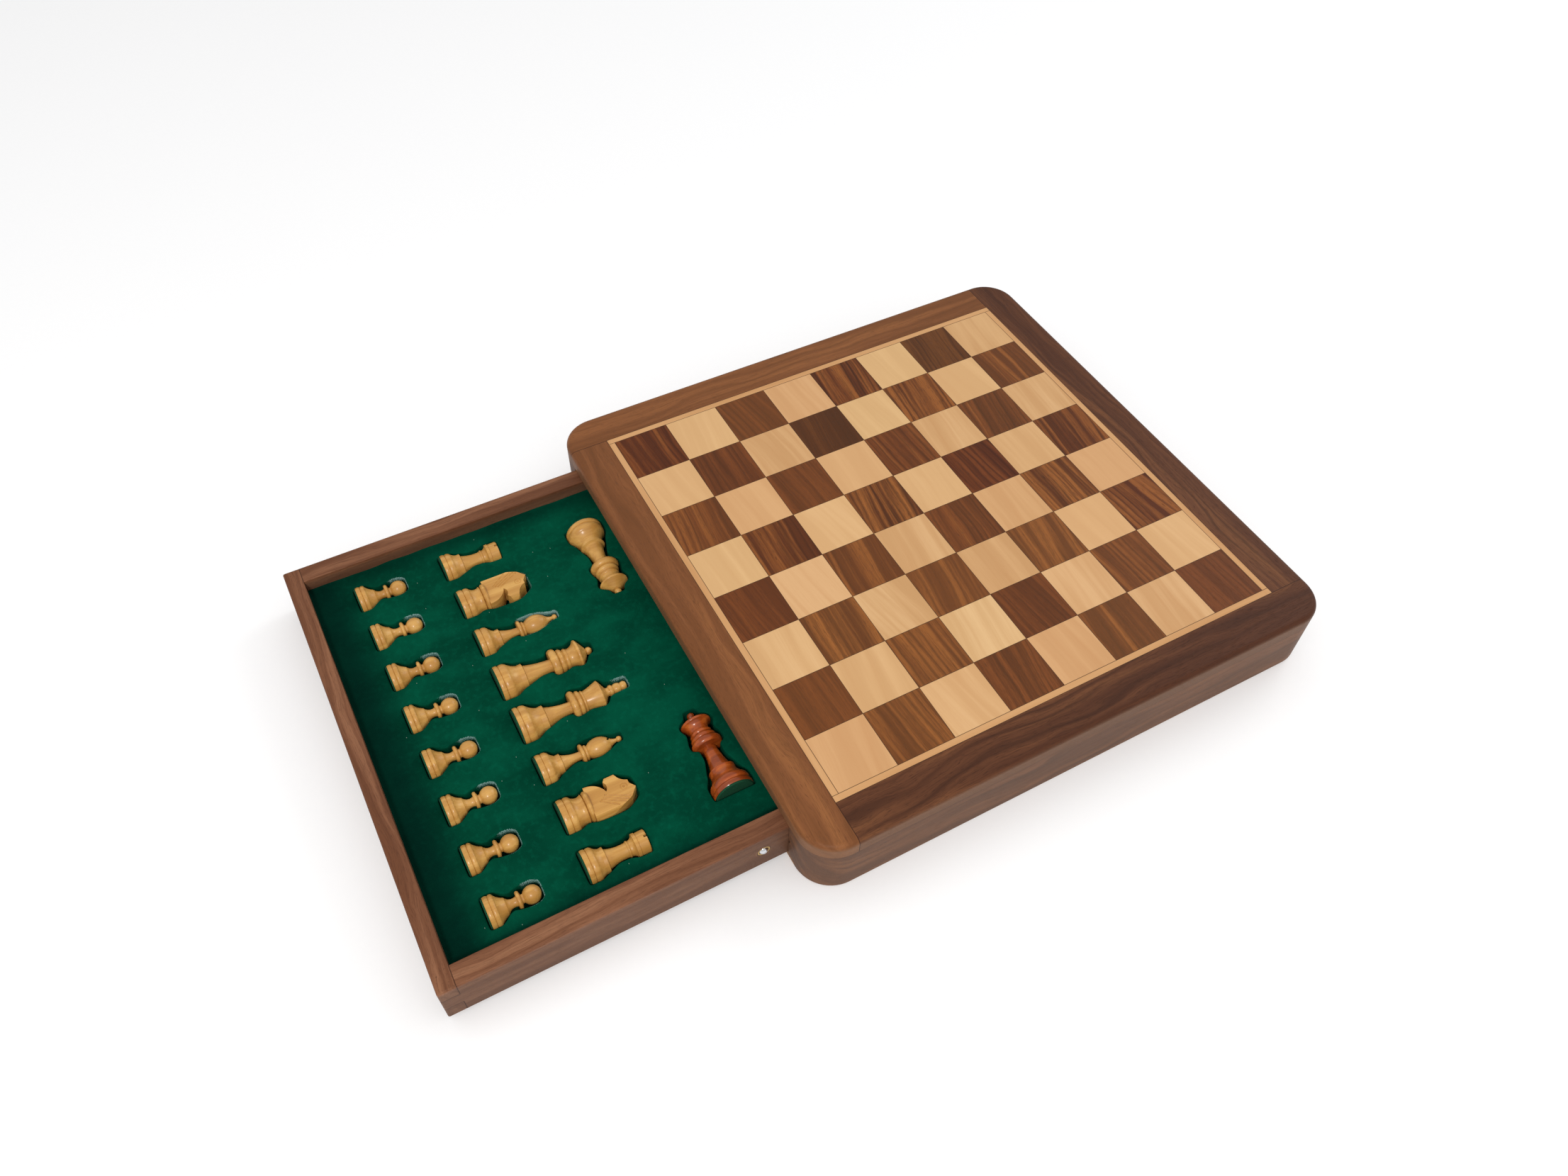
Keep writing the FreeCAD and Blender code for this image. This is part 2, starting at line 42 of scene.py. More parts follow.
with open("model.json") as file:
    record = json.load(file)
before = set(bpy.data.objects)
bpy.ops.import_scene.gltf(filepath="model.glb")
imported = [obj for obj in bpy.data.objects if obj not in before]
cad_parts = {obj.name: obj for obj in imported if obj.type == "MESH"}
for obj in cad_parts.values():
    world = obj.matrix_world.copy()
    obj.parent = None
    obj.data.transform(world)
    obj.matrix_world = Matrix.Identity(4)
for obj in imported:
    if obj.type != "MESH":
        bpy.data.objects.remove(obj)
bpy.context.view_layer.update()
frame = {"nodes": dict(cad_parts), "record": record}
nodes = frame["nodes"]
mm = 0.001
print("frame loaded:", len(nodes), "nodes")


def linear(red, green, blue):
    # A colour given as on screen, 0 to 255.
    def one(value):
        share = value / 255
        return share / 12.92 if share <= 0.04045 else ((share + 0.055) / 1.055) ** 2.4

    return (one(red), one(green), one(blue), 1.0)


class Value:
    # A number in a shader, with ordinary arithmetic.

    def __init__(self, shader, socket):
        self.shader = shader
        self.socket = socket

    def math(self, operation, first, second=0.0):
        return self.shader.node("ShaderNodeMath", {"operation": operation}, {0: first, 1: second})

    def __add__(self, other):
        return self.math("ADD", self, other)

    def __radd__(self, other):
        return self.math("ADD", other, self)

    def __sub__(self, other):
        return self.math("SUBTRACT", self, other)

    def __rsub__(self, other):
        return self.math("SUBTRACT", other, self)

    def __mul__(self, other):
        return self.math("MULTIPLY", self, other)

    def __rmul__(self, other):
        return self.math("MULTIPLY", other, self)

    def __truediv__(self, other):
        return self.math("DIVIDE", self, other)

    def __rtruediv__(self, other):
        return self.math("DIVIDE", other, self)

    def __pow__(self, other):
        return self.math("POWER", self, other)

    def __rpow__(self, other):
        return self.math("POWER", other, self)

    def __gt__(self, other):
        return self.math("GREATER_THAN", self, other)

    def __lt__(self, other):
        return self.math("LESS_THAN", self, other)

    def abs(self):
        return self.math("ABSOLUTE", self)

    def floor(self):
        return self.math("FLOOR", self)

    def fraction(self):
        return self.math("FRACT", self)

    def sine(self):
        return self.math("SINE", self)

    def root(self):
        return self.math("SQRT", self)

    def smaller(self, other):
        return self.math("MINIMUM", self, other)

    def larger(self, other):
        return self.math("MAXIMUM", self, other)

    def between(self, low, high):
        # 0 up to low, 1 from high on, smooth between them; low may be the larger.
        if low > high:
            return 1.0 - self.between(high, low)
        settings = {"interpolation_type": "SMOOTHSTEP", "clamp": True}
        return self.shader.node("ShaderNodeMapRange", settings, {0: self, 1: low, 2: high})


class Shader:
    # One material. Nodes are made with their settings first, then their inputs.

    def __init__(self, name):
        self.material = bpy.data.materials.new(name)
        self.material.use_nodes = True
        self.tree = self.material.node_tree
        self.tree.nodes.clear()
        place = self.node("ShaderNodeTexCoord", {}, {}, "Object")
        parts = self.tree.nodes.new("ShaderNodeSeparateXYZ")
        self.tree.links.new(place.socket, parts.inputs[0])
        self.x, self.y, self.z = [Value(self, out) * 1000.0 for out in parts.outputs]

    def node(self, kind, settings, inputs, output=0):
        made = self.tree.nodes.new(kind)
        for key, value in settings.items():
            setattr(made, key, value)
        for key, value in inputs.items():
            if isinstance(value, Value):
                self.tree.links.new(value.socket, made.inputs[key])
            else:
                made.inputs[key].default_value = value
        return Value(self, made.outputs[output])

    def vector(self, x, y, z):
        return self.node("ShaderNodeCombineXYZ", {}, {0: x, 1: y, 2: z})

    def noise(self, x, y, z, detail=2.0, roughness=0.5):
        return self.node("ShaderNodeTexNoise", {"noise_dimensions": "3D"},
                         {"Vector": self.vector(x, y, z), "Scale": 1.0, "Detail": detail,
                          "Roughness": roughness})

    def random(self, x, y, z):
        return self.node("ShaderNodeTexWhiteNoise", {"noise_dimensions": "3D"},
                         {"Vector": self.vector(x, y, z)})

    def attribute(self, name):
        return self.node("ShaderNodeAttribute", {"attribute_name": name}, {}, "Fac")

    def mix(self, share, first, second):
        return self.node("ShaderNodeMix", {"data_type": "RGBA"}, {0: share, 6: first, 7: second}, 2)

    def pick(self, share, first, second):
        # A number between two others.
        return first + (second - first) * share

    def finish(self, color, roughness, height=None, relief=0.0, fixed=None, metallic=0.0):
        shine = 0.5 if metallic else 0.12
        inputs = {"Base Color": color, "Roughness": roughness, "Metallic": metallic,
                  "Specular IOR Level": shine}
        inputs.update(fixed or {})
        if height is not None:
            inputs["Normal"] = self.node("ShaderNodeBump", {},
                                         {"Height": height, "Strength": 1.0, "Distance": relief * mm})
        surface = self.node("ShaderNodeBsdfPrincipled", {}, inputs)
        out = self.tree.nodes.new("ShaderNodeOutputMaterial")
        self.tree.links.new(surface.socket, out.inputs[0])
        return self.material


boxes = {}


def box(node):
    if node not in boxes:
        low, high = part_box(node)
        boxes[node] = low / mm, high / mm
    return boxes[node]


# Woods. How fine each part of the grain is: along it, across it, detail and roughness.
grainSizes = {
    "drift": (0.011, 0.045, 2.0, 0.5), "wander": (0.05, 0.16, 2.0, 0.5),
    "rays": (0.01, 0.1, 1.0, 0.5), "fibres": (0.045, 2.2, 4.0, 0.75), "pores": (0.22, 4.6, 1.0, 0.5),
}


def stretched(s, a, b, c, size):
    along, across, detail, roughness = size
    return s.noise(a * along, b * across, c * across, detail, roughness)


def woodGrain(s, a, b, c, look):
    # Grain runs along a; b and c lie across it.
    drift = stretched(s, a, b, c, grainSizes["drift"]) - 0.5
    wander = stretched(s, a, b, c, grainSizes["wander"]) - 0.5
    b = b + drift * look["drift"] + wander * look["wander"]
    bands = stretched(s, a, b, c, (0.005, look["bands"], 3.0, 0.6))
    rings = ((b + c * 0.6) * look["rings"] + drift * 9.0).sine() * 0.5 + 0.5
    rings = rings ** 3.0 * stretched(s, a, b, c, grainSizes["rays"]).between(0.35, 0.62)
    fibres = stretched(s, a, b, c, grainSizes["fibres"])
    pores = stretched(s, a, b, c, grainSizes["pores"]).between(0.60, 0.72)
    return bands, rings, fibres, pores


def woodHeight(grain):
    return grain[2] * 0.4 - grain[3]


def woodColor(s, grain, look, tone=0.5):
    bands, rings, fibres, pores = grain
    shade = bands.between(0.38, 0.62)
    color = s.mix(shade, look["dark"], look["mid"])
    color = s.mix((bands + (tone - 0.5) * 0.5).between(0.52, 0.80) * look["glow"], color, look["light"])
    color = s.mix(rings * look["ringDepth"], color, look["line"])
    color = s.mix(fibres.between(0.46, 0.70) * look["fibreDepth"], color, look["line"])
    color = s.mix(pores * look["poreDepth"], color, look["line"])
    return color


rosewood = {
    "dark": linear(84, 48, 30), "mid": linear(114, 70, 44), "light": linear(150, 98, 58),
    "line": linear(54, 29, 18), "drift": 16.0, "wander": 2.4, "bands": 0.13, "rings": 0.9,
    "glow": 0.7, "ringDepth": 0.6, "fibreDepth": 0.6, "poreDepth": 0.7,
}
drawerWood = dict(rosewood, dark=linear(106, 66, 44), mid=linear(134, 90, 64),
                  light=linear(156, 112, 82), line=linear(80, 46, 30), ringDepth=0.30, poreDepth=0.4)
darkSquare = dict(rosewood, dark=linear(78, 38, 18), mid=linear(116, 62, 29),
                  light=linear(168, 104, 50), line=linear(42, 20, 11), drift=7.0, wander=1.2,
                  bands=0.20, rings=1.7, glow=0.7, ringDepth=0.7, fibreDepth=0.5, poreDepth=0.7)
mapleWood = {
    "dark": linear(188, 143, 96), "mid": linear(203, 160, 112), "light": linear(218, 180, 134),
    "line": linear(176, 124, 76), "drift": 9.0, "wander": 1.0, "bands": 0.10, "rings": 0.75,
    "glow": 0.6, "ringDepth": 0.30, "fibreDepth": 0.26, "poreDepth": 0.14,
}
pieceWood = {
    "dark": linear(186, 134, 64), "mid": linear(204, 154, 80), "light": linear(222, 176, 102),
    "line": linear(148, 94, 38), "drift": 3.0, "wander": 0.6, "bands": 0.25, "rings": 1.1,
    "glow": 0.5, "ringDepth": 0.16, "fibreDepth": 0.16, "poreDepth": 0.10,
}
brownWood = dict(pieceWood, dark=linear(140, 60, 18), mid=linear(178, 84, 28),
                 light=linear(206, 118, 46), line=linear(78, 28, 12), ringDepth=0.35, fibreDepth=0.3)
glueColor = linear(44, 24, 16)

railInner = box("rail_right")[0].x
squaresHalf = box("dark_squares")[1].x
boardTop = box("dark_squares")[1].z
squaresInRow = 8
squareSize = 2 * squaresHalf / squaresInRow
elsewhere = 9.0  # added to a seam's distance where the seam isn't


def glueLine(s, color, distance, seam):
    # A dark line; seam is where it starts to show, where it is full, and how strong it is.
    edge, core, depth = seam
    return s.mix(distance.between(edge, core) * depth, color, glueColor)


frameLook = {
    "boardOffset": 160.0, "railOffset": 53.0, "endOn": 1.5,  # no two rails show the same grain
    "board": 0.35, "darker": linear(64, 38, 26), "paler": linear(152, 96, 52),
    # Painted light: the sides below the top edge are painted paler.
    "rubbed": (0.8, 3.2), "rubbedShare": 0.55, "rubbedColor": linear(122, 90, 66),
    "seam": (0.26, 0.1, 0.85), "roughness": (0.40, 0.52), "relief": 0.05,
}


def frameMaterial(look):
    s = Shader("frameRosewood")
    # The rails go round like a pinwheel.
    rightRail = (s.x > railInner) * (s.y > -railInner)
    farRail = (s.y > railInner) * (s.x < railInner)
    alongY = rightRail.larger((s.x < -railInner) * (s.y < railInner))
    darker = rightRail.larger(farRail)
    offset = darker * look["boardOffset"] + alongY * look["railOffset"]
    a = s.pick(alongY, s.x, s.y) + offset
    b = s.pick(alongY, s.y, s.x) + offset
    grain = woodGrain(s, a, b, s.z * look["endOn"], rosewood)
    color = woodColor(s, grain, rosewood)
    # The far and right rails came from a darker board. Below the top edge all are painted paler:
    # painted light on the sides.
    color = s.mix(darker * look["board"], color, look["darker"])
    color = s.mix((1.0 - darker) * look["board"], color, look["paler"])
    rubbed = (boardTop - s.z).between(*look["rubbed"])
    color = s.mix(rubbed * look["rubbedShare"], color, look["rubbedColor"])
    # Glue lines where rails meet each other and the maple.
    reach = s.x.abs().larger(s.y.abs())
    butt = ((s.x - railInner).abs() + (s.y < railInner) * elsewhere).smaller(
        (s.x + railInner).abs() + (s.y > -railInner) * elsewhere)
    butt = butt.smaller((s.y - railInner).abs() + (s.x > -railInner) * elsewhere)
    butt = butt.smaller((s.y + railInner).abs() + (s.x < railInner) * elsewhere)
    color = glueLine(s, color, butt.smaller((reach - railInner).abs()), look["seam"])
    return s.finish(color, s.pick(grain[2], *look["roughness"]), woodHeight(grain), look["relief"])


squareLook = {
    "slant": 0.30, "spread": (700.0, 310.0),  # how each square's grain differs from the next one's
    "seeds": (3.0, 11.0, 29.0, 47.0), "darkestShare": 0.55,
    "seam": (0.24, 0.08, 0.85), "roughness": (0.36, 0.46), "relief": 0.06,
}


def squareMaterial(name, look, tint):
    s = Shader(name)
    across = (s.x + squaresHalf) / squareSize
    up = (s.y + squaresHalf) / squareSize
    column, row = across.floor(), up.floor()
    first, second, third, fourth = [s.random(column, row, seed) for seed in squareLook["seeds"]]
    slant = (second - 0.5) * squareLook["slant"]
    a = s.x + first * squareLook["spread"][0]
    b = s.y + s.x * slant + second * squareLook["spread"][1]
    grain = woodGrain(s, a, b, s.z, look)
    color = woodColor(s, grain, look, first)
    color = s.mix(third * tint["share"], color, tint["first"])
    color = s.mix(fourth * tint["share"], color, tint["second"])
    for darkRow, darkColumn in tint["darkest"]:
        here = ((row - darkRow).abs() < 0.5) * ((column - darkColumn).abs() < 0.5)
        color = s.mix(here * squareLook["darkestShare"], color, look["line"])
    edgeX = ((across.fraction() - 0.5).abs() - 0.5).abs() * squareSize
    edgeY = ((up.fraction() - 0.5).abs() - 0.5).abs() * squareSize
    color = glueLine(s, color, edgeX.smaller(edgeY), squareLook["seam"])
    relief = look["poreDepth"] * squareLook["relief"]
    return s.finish(color, s.pick(grain[2], *squareLook["roughness"]), woodHeight(grain), relief)


stripLook = {"tone": linear(196, 142, 92), "toneShare": 0.45, "seam": (0.24, 0.08, 0.8),
             "roughness": 0.42, "relief": 0.02}


def stripMaterial(look):
    s = Shader("mapleStrips")
    alongY = (s.x.abs() > squaresHalf) * (s.y.abs() < squaresHalf)
    a = s.pick(alongY, s.x, s.y)
    b = s.pick(alongY, s.y, s.x)
    grain = woodGrain(s, a, b, s.z, mapleWood)
    color = woodColor(s, grain, mapleWood)
    color = s.mix(look["toneShare"], color, look["tone"])
    reach = s.x.abs().larger(s.y.abs())
    seam = (reach - railInner).abs().smaller((reach - squaresHalf).abs())
    corner = (s.x.abs() - squaresHalf).abs() + (s.y.abs() < squaresHalf) * elsewhere
    color = glueLine(s, color, seam.smaller(corner), look["seam"])
    return s.finish(color, look["roughness"], grain[2], look["relief"])


caseLook = {
    "acrossShare": 0.6, "grey": linear(112, 88, 70), "greyShare": 0.4,
    "foot": (1.5, 0.2), "footColor": linear(150, 112, 80), "footShare": 0.5,
    "seam": (0.3, 0.05, 0.8), "roughness": (0.42, 0.54), "relief": 0.05,
}


def caseMaterial(look):
    s = Shader("caseRosewood")
    inWall = 1.0
    alongY = s.x.abs() > box("side_wall_right")[0].x + inWall
    a = s.pick(alongY, s.x, s.y)
    b = s.pick(alongY, s.y, s.x)
    across = b * look["acrossShare"]
    grain = woodGrain(s, a, across + s.z, across, rosewood)
    color = s.mix(look["greyShare"], woodColor(s, grain, rosewood), look["grey"])
    color = s.mix(s.z.between(*look["foot"]) * look["footShare"], color, look["footColor"])
    color = glueLine(s, color, box("side_wall_right")[1].z - s.z, look["seam"])
    return s.finish(color, s.pick(grain[2], *look["roughness"]), woodHeight(grain), look["relief"])


drawerLook = {
    "sideOffset": 90.0, "rightOffset": 47.0,
    # The grey is painted shading on the upright faces below the top edge.
    "grey": linear(88, 66, 52), "greyShare": 0.5, "rubbed": (0.8, 3.0),
    "seam": (0.3, 0.1, 0.75), "endGrain": linear(72, 44, 30), "endShare": 0.6, "endSize": 0.6,
    "inJoint": 0.5, "inSide": 3.0,  # how far out from the side's inner face
    "torn": linear(168, 126, 92), "tornShare": 0.35, "tornReach": (5.6, 4.8), "ragged": 3.0,
    "rim": (3.9, 3.4), "rimShare": 0.8, "roughness": (0.40, 0.52), "relief": 0.05,
}


def drawerMaterial(look):
    s = Shader("drawerWood")
    sideLow, sideHigh = box("drawer_side_right")
    frontInner = box("drawer_front")[1].y
    backInner = box("drawer_back")[0].y
    innerX = sideLow.x
    third = (sideHigh.z - sideLow.z) / 3
    middle = (s.z > sideLow.z + third) * (s.z < sideHigh.z - third)
    between = (s.y > frontInner) * (s.y < backInner)
    alongY = (s.x.abs() > innerX) * between.larger(middle)
    a = s.pick(alongY, s.x, s.y) + alongY * look["sideOffset"]
    b = s.pick(alongY, s.y, s.x) + (s.x > 0.0) * alongY * look["rightOffset"]
    grain = woodGrain(s, a, b, s.z, drawerWood)
    color = woodColor(s, grain, drawerWood)
    # Painted shading: the outer and inner faces are painted greyer than the top edges, as light falls
    # on them.
    grey = (sideHigh.z - s.z).between(*look["rubbed"]) * look["greyShare"]
    color = s.mix(grey, color, look["grey"])
    # Corner joints: the seams between the fingers, and their end grain.
    atFront = s.y < frontInner
    notCorner = (s.x.abs() < innerX) * elsewhere
    seamTop = (s.y - frontInner).abs() + notCorner + middle * elsewhere
    seamZ = ((s.z - sideLow.z - third).abs().smaller((s.z - sideHigh.z + third).abs())
             + (1.0 - atFront) * elsewhere + notCorner)
    color = glueLine(s, color, seamTop.smaller(seamZ), look["seam"])
    ends = atFront * (s.x.abs() > innerX + look["inJoint"])
    size = look["endSize"]
    speck = s.noise(s.x * size, s.y * size, s.z * size, 3.0, 0.7).between(0.58, 0.72)
    color = s.mix(ends * speck * look["endShare"], color, look["endGrain"])
    # Torn fibres and a dark rim round the catch.
    ballLow, ballHigh = box("catch_ball_right")
    ball = (ballLow + ballHigh) / 2
    away = ((s.y - ball.y) * (s.y - ball.y) + (s.z - ball.z) * (s.z - ball.z)).root()
    onSide = s.x.abs() > innerX + look["inSide"]
    ragged = away + s.noise(s.y, s.z * 0.5, s.x, 2.0) * look["ragged"]
    torn = ragged.between(*look["tornReach"]) * onSide
    color = s.mix(torn * look["tornShare"], color, look["torn"])
    color = s.mix(onSide * away.between(*look["rim"]) * look["rimShare"], color, glueColor)
    return s.finish(color, s.pick(grain[2], *look["roughness"]), woodHeight(grain), look["relief"])


panelLook = {"ply": 0.9, "tone": linear(140, 98, 62), "toneShare": 0.65,
             "glue": linear(84, 54, 36), "glueShare": 0.4, "roughness": 0.6, "relief": 0.03}


def panelMaterial(look):
    s = Shader("panelWood")
    grain = woodGrain(s, s.x, s.y, s.z * 3.0, mapleWood)
    color = woodColor(s, grain, mapleWood)
    ply = ((s.z / look["ply"]).fraction() - 0.5).abs().between(0.15, 0.3)
    color = s.mix(look["toneShare"], color, look["tone"])
    color = s.mix(ply * look["glueShare"], color, look["glue"])
    return s.finish(color, look["roughness"], grain[2], look["relief"])


def fibreboardMaterial(name, dark, pale):
    s = Shader(name)
    speck = s.noise(s.x * 1.5, s.y * 1.5, s.z * 1.5, 4.0, 0.7)
    color = s.mix(speck.between(0.35, 0.65), dark, pale)
    return s.finish(color, 0.85, speck, 0.08)


def turnedMaterial(name, look, roughness, coat, gloss):
    # Grain runs along Y, the way most of the pieces lie.
    s = Shader(name)
    grain = woodGrain(s, s.y, s.x, s.z, look)
    color = woodColor(s, grain, look)
    height = grain[2] * 0.4 - grain[3] * 0.4
    fixed = {"Coat Roughness": gloss, "Coat Weight": coat, "Specular IOR Level": 0.3}
    return s.finish(color, s.pick(grain[2], roughness, roughness + 0.08), height, 0.03, fixed)


feltLook = {"dark": linear(16, 58, 38), "pale": linear(34, 84, 58), "fuzz": 3.0,
            "roughness": 0.95, "relief": 0.15}


def feltMaterial(look):
    s = Shader("footFelt")
    size = look["fuzz"]
    fuzz = s.noise(s.x * size, s.y * size, s.z * size, 3.0, 0.7)
    color = s.mix(fuzz.between(0.3, 0.7), look["dark"], look["pale"])
    return s.finish(color, look["roughness"], fuzz, look["relief"])


velvetColors = {
    "brushed": (linear(1, 58, 41), linear(2, 74, 53)), "mottle": linear(5, 92, 68),
    "deep": linear(0, 42, 29), "against": linear(1, 27, 22), "lint": linear(176, 190, 176),
    "worn": linear(140, 178, 176), "sheen": linear(60, 190, 150),
    # How far the painted shade reaches in from the front and sides, and how strong it is.
    "frontReach": (30.0, 6.0), "sideReach": (14.0, 2.0), "sideShare": 0.6, "againstShare": 0.8,
    "lintCell": 9.0, "lintSize": (0.22, 0.10), "lintRare": 0.93, "lintShare": 0.6,
    "wornShare": 0.8, "wearWeight": 0.9, "speckWeight": 2.2, "wearCut": 1.62,
    "wornRange": (0.08, 0.34), "relief": 0.12,
}


def velvetMaterial(look):
    s = Shader("greenVelvet")
    brushed = s.noise(s.x * 0.05, s.y * 0.03, s.z * 0.03, 3.0, 0.6)
    mottle = s.noise(s.x * 0.35, s.y * 0.35, s.z * 0.35, 3.0, 0.6)
    pile = s.noise(s.x * 4.0, s.y * 4.0, s.z * 4.0, 2.0, 0.7)
    color = s.mix(brushed.between(0.35, 0.68), *look["brushed"])
    color = s.mix(mottle.between(0.45, 0.75) * 0.30, color, look["mottle"])
    color = s.mix(pile.between(0.5, 0.25) * 0.35, color, look["deep"])
    # Painted shade along the front and sides, where the drawer's boards shade the cloth.
    low, high = box("velvet_lining")
    atSides = (high.x - s.x.abs()).between(*look["sideReach"]) * look["sideShare"]
    against = (s.y - low.y).between(*look["frontReach"]).larger(atSides)
    color = s.mix(against * look["againstShare"], color, look["against"])
    # Lint: at most one fleck in a cell, in few of the cells.
    cell = look["lintCell"]
    column, row = (s.x / cell).floor(), (s.y / cell).floor()
    fromX = (s.x / cell).fraction() - 0.2 - s.random(column, row, 5.0) * 0.6
    fromY = (s.y / cell).fraction() - 0.2 - s.random(column, row, 17.0) * 0.6
    fleck = (fromX * fromX * 0.4 + fromY * fromY * 1.6).root() * cell
    fleck = fleck.between(*look["lintSize"]) * (s.random(column, row, 31.0) > look["lintRare"])
    color = s.mix(fleck * look["lintShare"], color, look["lint"])
    # Worn rims of the hollows, in specks.
    torn = s.noise(s.x * 2.4, s.y * 2.4, s.z * 2.4, 3.0, 0.75)
    wear = s.attribute("wear") * look["wearWeight"] + torn * look["speckWeight"] - look["wearCut"]
    wear = wear.between(*look["wornRange"])
    color = s.mix(wear * look["wornShare"], color, look["worn"])
    fixed = {"Sheen Weight": 0.03, "Sheen Roughness": 0.4, "Sheen Tint": look["sheen"],
             "Specular IOR Level": 0.02}
    return s.finish(color, 0.95, pile + mottle * 0.5, look["relief"], fixed)


def metalMaterial(name, color, roughness):
    s = Shader(name)
    scratch = s.noise(s.x * 0.4, s.y * 3.0, s.z * 3.0, 2.0)
    tone = s.mix(scratch.between(0.3, 0.7) * 0.25, color, linear(120, 118, 116))
    return s.finish(tone, s.pick(scratch, roughness, roughness * 1.8), metallic=1.0)


squareTint = {"share": 0.35, "first": linear(96, 46, 22), "second": linear(138, 88, 44),
              "darkest": ((6, 0), (3, 1))}
mapleTint = {"share": 0.45, "first": linear(226, 190, 136), "second": linear(206, 154, 108),
             "darkest": ()}
materials = {
    "frame_rosewood": frameMaterial(frameLook),
    "case_rosewood": caseMaterial(caseLook),
    "square_rosewood": squareMaterial("darkSquares", darkSquare, squareTint),
    "maple": stripMaterial(stripLook),
    "drawer_wood": drawerMaterial(drawerLook),
    "panel_wood": panelMaterial(panelLook),
    "fibreboard": fibreboardMaterial("fibreboard", linear(128, 96, 62), linear(156, 120, 82)),
    "steel": metalMaterial("steel", linear(176, 176, 178), 0.30),
    "barrel_brass": metalMaterial("brass", linear(200, 164, 96), 0.28),
    "ball_chrome": metalMaterial("chromeBall", linear(226, 228, 232), 0.10),
    "velvet": velvetMaterial(velvetColors),
    "boxwood": turnedMaterial("boxwood", pieceWood, 0.34, 0.25, 0.18),
    "brown_boxwood": turnedMaterial("brownBoxwood", brownWood, 0.26, 0.3, 0.08),
}
lightSquares = squareMaterial("lightSquares", mapleWood, mapleTint)
trayBoard = fibreboardMaterial("trayBoard", linear(4, 30, 22), linear(10, 44, 33))
ownMaterials = {"light_squares": lightSquares, "tray_insert": trayBoard}
felt = feltMaterial(feltLook)
print("materials made")


def footSide(name):
    # Which way a piece's foot points: an axis and a sign.
    if name == "spare_white_queen":
        return 0, -1
    if name == "spare_brown_queen":
        return 0, 1
    return 1, (1 if name.startswith("brown") else -1)


feltReach = 0.82  # the felt's thickness and a little more
for entry in frame["record"]["subparts"]:
    name, slot = entry["node"], entry["material_slot"]
    data = nodes[name].data
    data.materials.clear()
    data.materials.append(ownMaterials.get(name, materials[slot]))
    hasFelt = slot in ("boxwood", "brown_boxwood")
    if hasFelt:
        data.materials.append(felt)
        axis, sign = footSide(name)
        low, high = box(name)
        end = (high if sign > 0 else low)[axis] - sign * feltReach
    for face in data.polygons:
        face.material_index = int(hasFelt and (face.center[axis] / mm - end) * sign > 0)
print("felt under the pieces")


# Velvet: one cloth over the tray, pressed down into every hollow.
def topLoops(node, level):
    # Closed outlines of the holes and border in a flat top face.
    upright, room, digits = 0.99, 0.01, 3
    edges = {}
    for face in node.data.polygons:
        if face.normal.z < upright or abs(face.center.z / mm - level) > room:
            continue
        points = [node.data.vertices[index].co / mm for index in face.vertices]
        corners = [(round(point.x, digits), round(point.y, digits)) for point in points]
        for first, second in zip(corners, corners[1:] + corners[:1]):
            if (second, first) in edges:
                del edges[(second, first)]
            else:
                edges[(first, second)] = True
    following = {first: second for first, second in edges}
    loops = []
    while following:
        here = next(iter(following))
        loop = []
        while here in following:
            loop.append(Vector(here))
            here = following.pop(here)
        loops.append(loop)
    return loops


def resample(loop, step):
    points = []
    for first, second in zip(loop, loop[1:] + loop[:1]):
        parts = max(1, round((second - first).length / step))
        points += [first.lerp(second, n / parts) for n in range(parts)]
    return points


def smooth(points, passes):
    for _ in range(passes):
        count = len(points)
        points = [(points[n - 1] + points[n] * 2 + points[(n + 1) % count]) / 4 for n in range(count)]
    return points


def inside(point, loop):
    hits = False
    for first, second in zip(loop, loop[1:] + loop[:1]):
        if (first.y > point.y) != (second.y > point.y):
            if point.x < first.x + (point.y - first.y) / (second.y - first.y) * (second.x - first.x):
                hits = not hits
    return hits


def loopArea(loop):
    return sum(p.x * q.y - q.x * p.y for p, q in zip(loop, loop[1:] + loop[:1])) / 2


velvetLook = {
    "outlineStep": 0.55, "rounding": 7, "gridStep": 3.2, "sunk": 0.05,
    "wave": 0.16, "waveSize": 16.0, "waveSeed": 0.3,
    # Its edge is turned up against the drawer's boards: inset from them, and share of the lift.
    "wallGap": 0.08, "turnUp": 0.55, "edge": ((0.0, 1.0), (0.35, 0.45), (1.1, 0.0)),
    "ripple": 1.2, "rippleSize": 14, "rippleSeed": 4,
    "edgeStep": 2.0, "fieldInset": 2.2, "fieldRoom": 1.3,
    # How the cloth turns into a hollow: distance out from its outline, and depth.
    "lip": [(0.90, 0.0), (0.42, 0.03), (0.16, 0.13), (-0.02, 0.36), (-0.12, 0.8), (-0.20, 1.6),
            (-0.24, 3.2)],
    # The same at its floor, with the height over the cloth's lowest level.
    "floor": [(-0.26, 0.8), (-0.30, 0.25), (-0.55, 0.0)], "clothRoom": 0.16,
    # How much each row of the lip is rubbed.
    "lipWear": (0.0, 0.4, 0.8, 1.0, 1.0, 0.9, 0.6),
    "flat": (0.27, 0.335),
}
